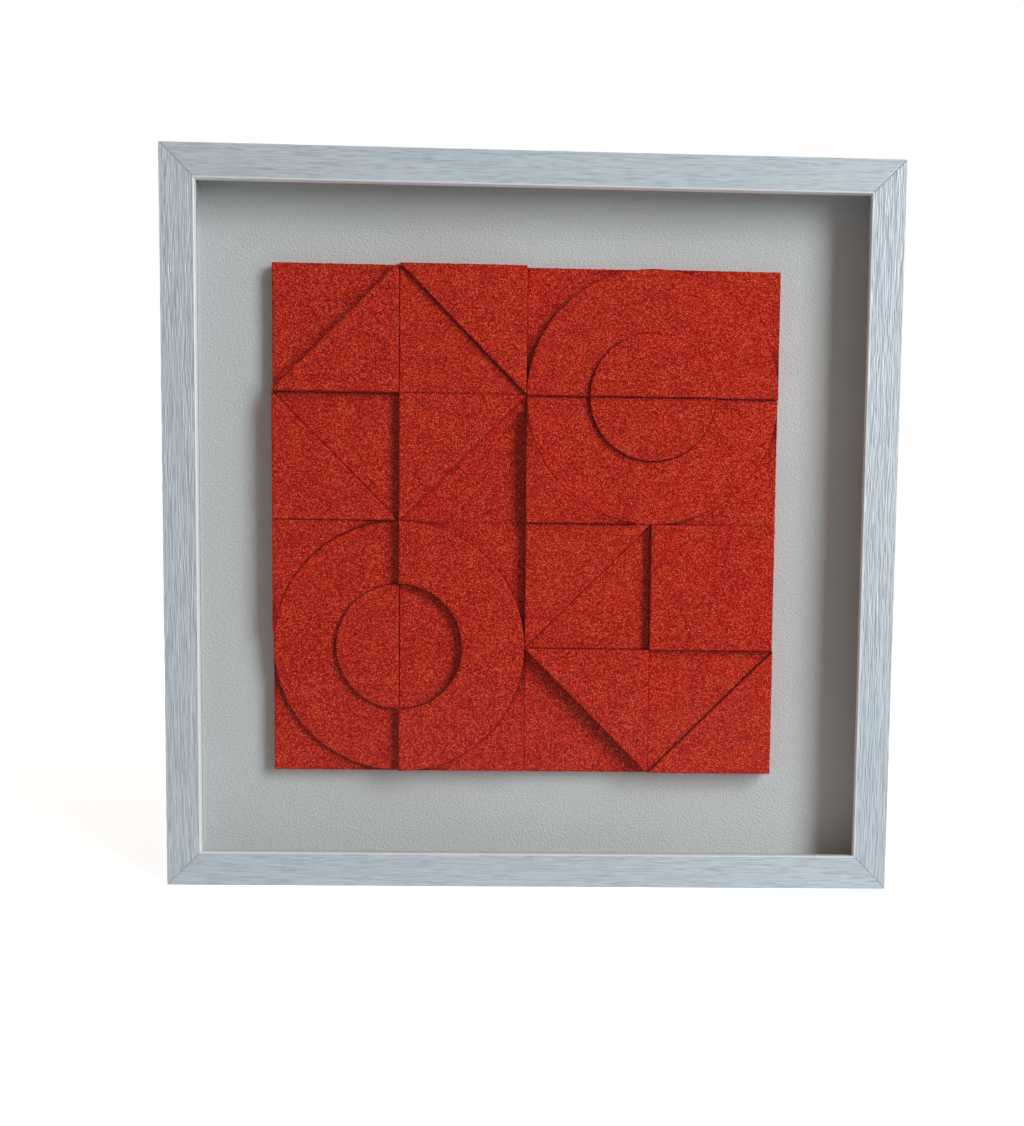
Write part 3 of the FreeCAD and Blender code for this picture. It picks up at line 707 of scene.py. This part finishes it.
def spandrel_outline():
    """The corner outside the ring: along each ray from the centre, from the hollow's radius to the square."""
    hollow, edge = cell + seam_half, cell - seam_half
    tip = math.acos(edge / hollow)
    angle = np.linspace(tip, math.pi / 2 - tip, steps(hollow * (math.pi / 2 - 2 * tip)) + 1)[None, :]
    share = np.linspace(0, 1, steps(edge * math.sqrt(2) - hollow) + 1)[:, None]
    radius = hollow + (edge / np.maximum(np.cos(angle), np.sin(angle)) - hollow) * share
    return grid_patch(radius * np.cos(angle), radius * np.sin(angle))


OUTLINES = {
    "quarter": quarter_outline,
    "corner": corner_outline,
    "band": band_outline,
    "half_disc": half_disc_outline,
    "spandrel": spandrel_outline,
}
print("cell, ring and seam in mm:", *(round(value / MM, 2) for value in (cell, ring_radius, 2 * seam_half)))

# %% [markdown]
# ## A coated block
#
# A block is its patch, raised to its level, with walls that drop from the patch's edge to the panel. Lumps
# push the top towards the viewer and the walls outwards, and each point also has a small random height of
# its own. The coat rounds off each edge: the top sinks a little over its last 1.2 mm, and the ring of
# points right at the edge is drawn in and lowered once more.

# %% Block builder
COAT = 0.5 * MM
LUMP = 1.4 * MM
TOP_LUMP = 0.2 * MM
WALL_LUMP = 0.2 * MM
SINGLE_GRAIN = 0.34 * MM
EDGE_ROUND = 0.22 * MM
EDGE_SINK = 0.6 * EDGE_ROUND
WALL_LUMP_MIDDLE, TOP_LUMP_MIDDLE = 0.45, 0.5
RAGGED_LEAST = 0.2
GRIT_SMOOTH_DEGREES = 80
ROUND_WIDTH = 1.2 * MM
ROUND_DROP = 0.16 * MM


def walls(loop_points, top, bottom, first_index, seed):
    """Rings of points from the top edge down, and the quads between them.

    In words: each ring repeats the outline. Each point is pushed out or in by the lumps there, along its own
    outward direction, and by a small random step. The loop runs clockwise or anticlockwise, and its signed area
    says which way is out.
    """
    ahead, behind = np.roll(loop_points, -1, 0), np.roll(loop_points, 1, 0)
    along = ahead - behind
    area = np.sum(loop_points[:, 0] * ahead[:, 1] - loop_points[:, 1] * ahead[:, 0])
    out = np.stack([along[:, 1], -along[:, 0]], 1) * np.sign(area)
    out /= np.maximum(np.hypot(*out.T), 1e-9)[:, None]
    run = np.cumsum(np.hypot(*(loop_points - behind).T))
    count = steps(abs(bottom - top))
    depth = top + (bottom - top) * np.arange(1, count + 1) / count
    ring, column = np.meshgrid(np.arange(count), np.arange(len(run)), indexing="ij")
    lumps = grains(run[column], depth[ring], LUMP, seed) - WALL_LUMP_MIDDLE
    push = lumps * WALL_LUMP + (lattice_value(ring, column, seed + 3) - 0.5) * SINGLE_GRAIN
    push[-1] = 0
    flat = loop_points[None, :, :] + out[None, :, :] * push[:, :, None]
    level = np.broadcast_to(depth[:, None, None], (*push.shape, 1))
    rings = np.concatenate([flat, level], 2).reshape(-1, 3)
    size = len(loop_points)
    index = first_index + np.arange(count * size).reshape(count, size)
    right = np.roll(index, -1, 1)
    quads = np.stack([index[:-1], right[:-1], right[1:], index[1:]], 2).reshape(-1, 4).tolist()
    return rings, quads, index, out


def rounding(points, edge_points):
    """How far the coat sinks near an edge: the drop times the square of 1 minus the distance over the width."""
    distance = np.concatenate([
        np.sqrt(((part[:, None, :] - edge_points[None, :, :]) ** 2).sum(2).min(1))
        for part in np.array_split(points, 1 + len(points) // 2000)
    ])
    return ROUND_DROP * np.maximum(0, 1 - distance / ROUND_WIDTH) ** 2


def coated_block(kind, turns, centre, top, base, seed):
    """Points and faces of one coated block about its module's centre."""
    points, faces, loop = OUTLINES[kind]()
    rings, quads, index, out = walls(points[loop], top + EDGE_ROUND, base, len(points), seed)
    flat = points.copy()
    own_number = np.arange(len(points))
    ragged = lattice_value(own_number[loop], own_number[loop] * 0, seed + 7)[:, None]
    flat[loop] -= out * EDGE_ROUND * (RAGGED_LEAST + ragged)
    lumps = grains(points[:, 0], points[:, 1], LUMP, seed + 5) - TOP_LUMP_MIDDLE
    single = lattice_value(own_number, own_number * 0, seed + 8) - 0.5
    y = top - lumps * TOP_LUMP - single * SINGLE_GRAIN + rounding(points, points[loop])
    y[loop] = top + EDGE_SINK - single[loop] * SINGLE_GRAIN
    top_points = np.stack([flat[:, 0], flat[:, 1], y], 1)
    right = np.roll(loop, -1)
    join = np.stack([loop, right, np.roll(index[0], -1), index[0]], 1).tolist()
    local = np.concatenate([top_points, rings])
    across, up = quarter_turns(local[:, 0], local[:, 1], turns)
    placed = np.stack([across + centre[0], local[:, 2], up + centre[1]], 1)
    return placed, faces + join + quads + [index[-1].tolist()]


# %% [markdown]
# ## The relief, block by block
#
# A node's name says its module, its outline and where it lies, so the same names place the finish. Where a
# corner or spandrel has no block, the bare panel shows: it gets the same coat, as part of the panel's
# piece.

# %% Coated blocks
MODULES = {
    "diamond_upper": (-1, 1),
    "rings_upper": (1, 1),
    "rings_lower": (-1, -1),
    "diamond_lower": (1, -1),
}
SIDES = ("top", "right", "bottom", "left")
CORNERS = ("upper_right", "lower_right", "lower_left", "upper_left")
KINDS = {"diamond": ("quarter", "corner"), "rings": ("band", "half_disc", "spandrel")}

core_top = low_level + COAT
bare_places = []
relief_triangles = 0
seed = 100
for module, (right, up) in MODULES.items():
    centre = (panel_middle[0] + right * cell, panel_middle[2] + up * cell)
    for kind in KINDS[module.split("_")[0]]:
        for turns in range(4):
            where = (SIDES if kind in ("band", "half_disc") else CORNERS)[turns]
            node = f"{module}_{kind}_{where}"
            seed += 11
            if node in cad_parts:
                block = coated_block(kind, turns, centre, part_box(node)[0][1], core_top, seed)
                made = make_piece(
                    f"coated_{node}", *block, grit, "red_grit_board", node, GRIT_SMOOTH_DEGREES
                )
                relief_triangles += triangles_in(made)
            elif kind in ("corner", "spandrel"):
                bare_places.append((kind, turns, centre, seed))
print("bare places", len(bare_places), "block triangles", relief_triangles)

# %% [markdown]
# ## The panel under the blocks
#
# The panel's own piece is a slab with coated side walls. Its top and bottom are hidden under the blocks and
# against the mount, so they are single flat faces. The bare places are thin coats on top of it.

# %% Coated panel


def panel_piece():
    """The slab, its side walls rough with grain, and a coat on each bare place."""
    left, right, bottom, top = panel_low[0], panel_high[0], panel_low[2], panel_high[2]
    corners = ((left, bottom), (right, bottom), (right, top), (left, top))
    loop_points = np.concatenate([stretch(corners[i], corners[(i + 1) % 4], PITCH) for i in range(4)])
    rings, quads, index, _ = walls(loop_points, core_top, panel_high[1], 0, 71)
    rings[index[0], 2] = core_top
    points = [rings[:, [0, 2, 1]]]
    faces = quads + [index[0].tolist(), index[-1].tolist()]
    for kind, turns, centre, seed in bare_places:
        placed, more = coated_block(kind, turns, centre, low_level, core_top, seed)
        start = sum(len(part) for part in points)
        points.append(placed)
        faces += [[corner + start for corner in face] for face in more]
    print("panel", round((right - left) / MM, 1), "x", round((top - bottom) / MM, 1), "mm")
    return np.concatenate(points), faces


panel = make_piece(
    "coated_relief_panel", *panel_piece(), grit, "red_grit_board", "relief_panel", GRIT_SMOOTH_DEGREES
)
print(panel.name, triangles_in(panel), "triangles")

# %% [markdown]
# ## Solids that keep their own shape
#
# Glass, spacers, boards and small steel are already the right shape. They only need their finish.

# %% Finishes for the remaining solids
FINISHES = {
    "glass": clear_glass,
    "mount_board": mount_card,
    "backing_board": fibreboard,
    "spacer_bottom": spacer_card,
    "spacer_top": spacer_card,
    "spacer_left": spacer_card,
    "spacer_right": spacer_card,
    "glazier_points": spring_steel,
    "corner_nails": spring_steel,
    "hanger_left": zinc_steel,
    "hanger_right": zinc_steel,
    "hanger_nails": zinc_steel,
    "bumpers": black_rubber,
}
for node, material in FINISHES.items():
    finish_node(node, material)
print(len(FINISHES), "solids keep their own shape")

# %% [markdown]
# ## Floor, background and light
#
# The object stands on a pale floor that runs off into a white background. For the camera the floor is
# lifted towards white, but it still takes the shadow. Near the object it is a pale cool tone, which throws
# light back on the lower rails, and further off it darkens. In mirrors it is a faint glow that fades with
# distance to the room's own dim tone, so that the pane shows a light veil low down and no line where floor
# and background meet.

# %% Floor
FLOOR_SIZE = 12.0
FLOOR_FAR_COLOUR, FLOOR_NEAR_COLOUR = (0.3, 0.3, 0.3, 1), (0.82, 0.88, 0.93, 1)
MIRRORED_NEAR_COLOUR = (0.18, 0.20, 0.22, 1)
NEAR_FLOOR, FAR_FLOOR = 0.2, 1.8
NEAR_LIFT, FAR_LIFT = 0.72, 0.98
ROOM_BEHIND_CAMERA = 0.11
floor_mesh = bpy.data.meshes.new("floor")
half = FLOOR_SIZE / 2
floor_corners = [(-half, -half, 0), (half, -half, 0), (half, half, 0), (-half, half, 0)]
floor_mesh.from_pydata(floor_corners, [], [(0, 1, 2, 3)])
floor = bpy.data.objects.new("floor", floor_mesh)
bpy.context.collection.objects.link(floor)
floor_finish, tree, shader = new_material("floor", 0.9, Specular_IOR_Level=0.0)
distance = add_node(tree, "VectorMath", operation="LENGTH", i0=place_in_object(tree)).outputs["Value"]
nearness = number_run(tree, distance, NEAR_FLOOR, FAR_FLOOR, 1.0, 0.0)
tone = blend_colours(tree, nearness, FLOOR_FAR_COLOUR, FLOOR_NEAR_COLOUR)
tree.links.new(tone, shader.inputs["Base Color"])
paths = tree.nodes.new("ShaderNodeLightPath")
glow_strength = number_run(tree, nearness, 0, 1, FAR_LIFT, NEAR_LIFT)
lift = add_node(tree, "Math", operation="MULTIPLY", i0=paths.outputs["Is Camera Ray"], i1=glow_strength)
glow = add_node(tree, "Emission", Strength=lift.outputs["Value"])
lifted = add_node(tree, "AddShader", i0=shader.outputs["BSDF"], i1=glow.outputs["Emission"])
dim = (ROOM_BEHIND_CAMERA, ROOM_BEHIND_CAMERA, ROOM_BEHIND_CAMERA, 1)
mirrored = add_node(tree, "Emission", Color=blend_colours(tree, nearness, dim, MIRRORED_NEAR_COLOUR))
surface = add_node(
    tree, "MixShader", i0=paths.outputs["Is Glossy Ray"], i1=lifted.outputs["Shader"],
    i2=mirrored.outputs["Emission"],
)
tree.links.new(surface.outputs["Shader"], tree.nodes["Material Output"].inputs["Surface"])
floor_mesh.materials.append(floor_finish)
print("floor", FLOOR_SIZE, "m, pale up to", NEAR_FLOOR, "m")

# %% [markdown]
# The world is white where the camera or a pane looks straight at it. What shines back from the glass comes
# from behind the camera, and there the room is dim, as any room is behind a photographer: the glossy part
# is white behind the object and dim in front of it. What lights the object softly is a weak, slightly warm
# fill.

# %% World
FILL_STRENGTH = 0.22
FILL_COLOUR = (1.0, 0.79, 0.60, 1)
world = bpy.data.worlds.new("studio")
bpy.context.scene.world = world
world.use_nodes = True
tree = world.node_tree
tree.nodes.clear()
paths = tree.nodes.new("ShaderNodeLightPath")
direction = add_node(tree, "SeparateXYZ", Vector=tree.nodes.new("ShaderNodeTexCoord").outputs["Generated"])
mirrored = number_run(tree, direction.outputs["Y"], -0.35, 0.35, ROOM_BEHIND_CAMERA, 1.0)
seen = add_node(
    tree, "Math", operation="MAXIMUM", i0=paths.outputs["Is Camera Ray"],
    i1=paths.outputs["Is Transmission Ray"],
)
fill = add_node(tree, "Background", Color=FILL_COLOUR, Strength=FILL_STRENGTH)
glossy = add_node(tree, "Background", Color=(1, 1, 1, 1), Strength=mirrored)
white = add_node(tree, "Background", Color=(1, 1, 1, 1), Strength=1.0)
softly = add_node(
    tree, "MixShader", i0=paths.outputs["Is Glossy Ray"], i1=fill.outputs["Background"],
    i2=glossy.outputs["Background"],
)
whole = add_node(tree, "MixShader", i0=seen.outputs["Value"], i1=softly.outputs["Shader"],
                 i2=white.outputs["Background"])
output = tree.nodes.new("ShaderNodeOutputWorld")
tree.links.new(whole.outputs["Shader"], output.inputs["Surface"])
print("fill", FILL_STRENGTH, "room behind the camera", ROOM_BEHIND_CAMERA)

# %% [markdown]
# The main light is a tall area lamp on the right and a little above, as from a window. Its width sets how
# soft the shadow of the upright rail is, and its height does the same for the shadow under the top rail. A
# second, weaker lamp stands behind, so that the boards, hangers and points at the back can be seen. The
# backing board keeps its light out of the box.

# %% Lamps
LAMP_DISTANCE = 3.0
LAMP_RIGHT_DEGREES = 46
LAMP_UP_DEGREES = 19
LAMP_SIZE, BACK_LAMP_SIZE = (1.08, 2.2), (1.6, 1.6)
LAMP_POWER, BACK_LAMP_POWER = 73.0, 32.0
LAMP_COLOUR, BACK_LAMP_COLOUR = (0.93, 0.975, 1.0), (1.0, 0.98, 0.95)
BACK_LAMP_PLACE = (-1.3, 2.7, 0.9)

object_middle = Vector((0, 0, middle_height))


def area_lamp(name, place, size, power, colour):
    """A rectangular lamp that looks at the object's middle."""
    data = bpy.data.lights.new(name, "AREA")
    data.shape = "RECTANGLE"
    data.size, data.size_y = size
    data.energy, data.color = power, colour
    lamp = bpy.data.objects.new(name, data)
    lamp.location = place
    lamp.rotation_mode = "QUATERNION"
    lamp.rotation_quaternion = (object_middle - Vector(place)).to_track_quat("-Z", "Y")
    bpy.context.collection.objects.link(lamp)
    print(name, "lamp", power, "W")


right_turn, lift_up = math.radians(LAMP_RIGHT_DEGREES), math.radians(LAMP_UP_DEGREES)
towards_lamp = Vector((
    math.sin(right_turn) * math.cos(lift_up), -math.cos(right_turn) * math.cos(lift_up), math.sin(lift_up)
))
area_lamp("window", object_middle + LAMP_DISTANCE * towards_lamp, LAMP_SIZE, LAMP_POWER, LAMP_COLOUR)
area_lamp("back_window", BACK_LAMP_PLACE, BACK_LAMP_SIZE, BACK_LAMP_POWER, BACK_LAMP_COLOUR)

# %% [markdown]
# ## Colour and the end
#
# Colours are shown as written.

# %% Finish
bpy.context.scene.view_settings.view_transform = "Standard"
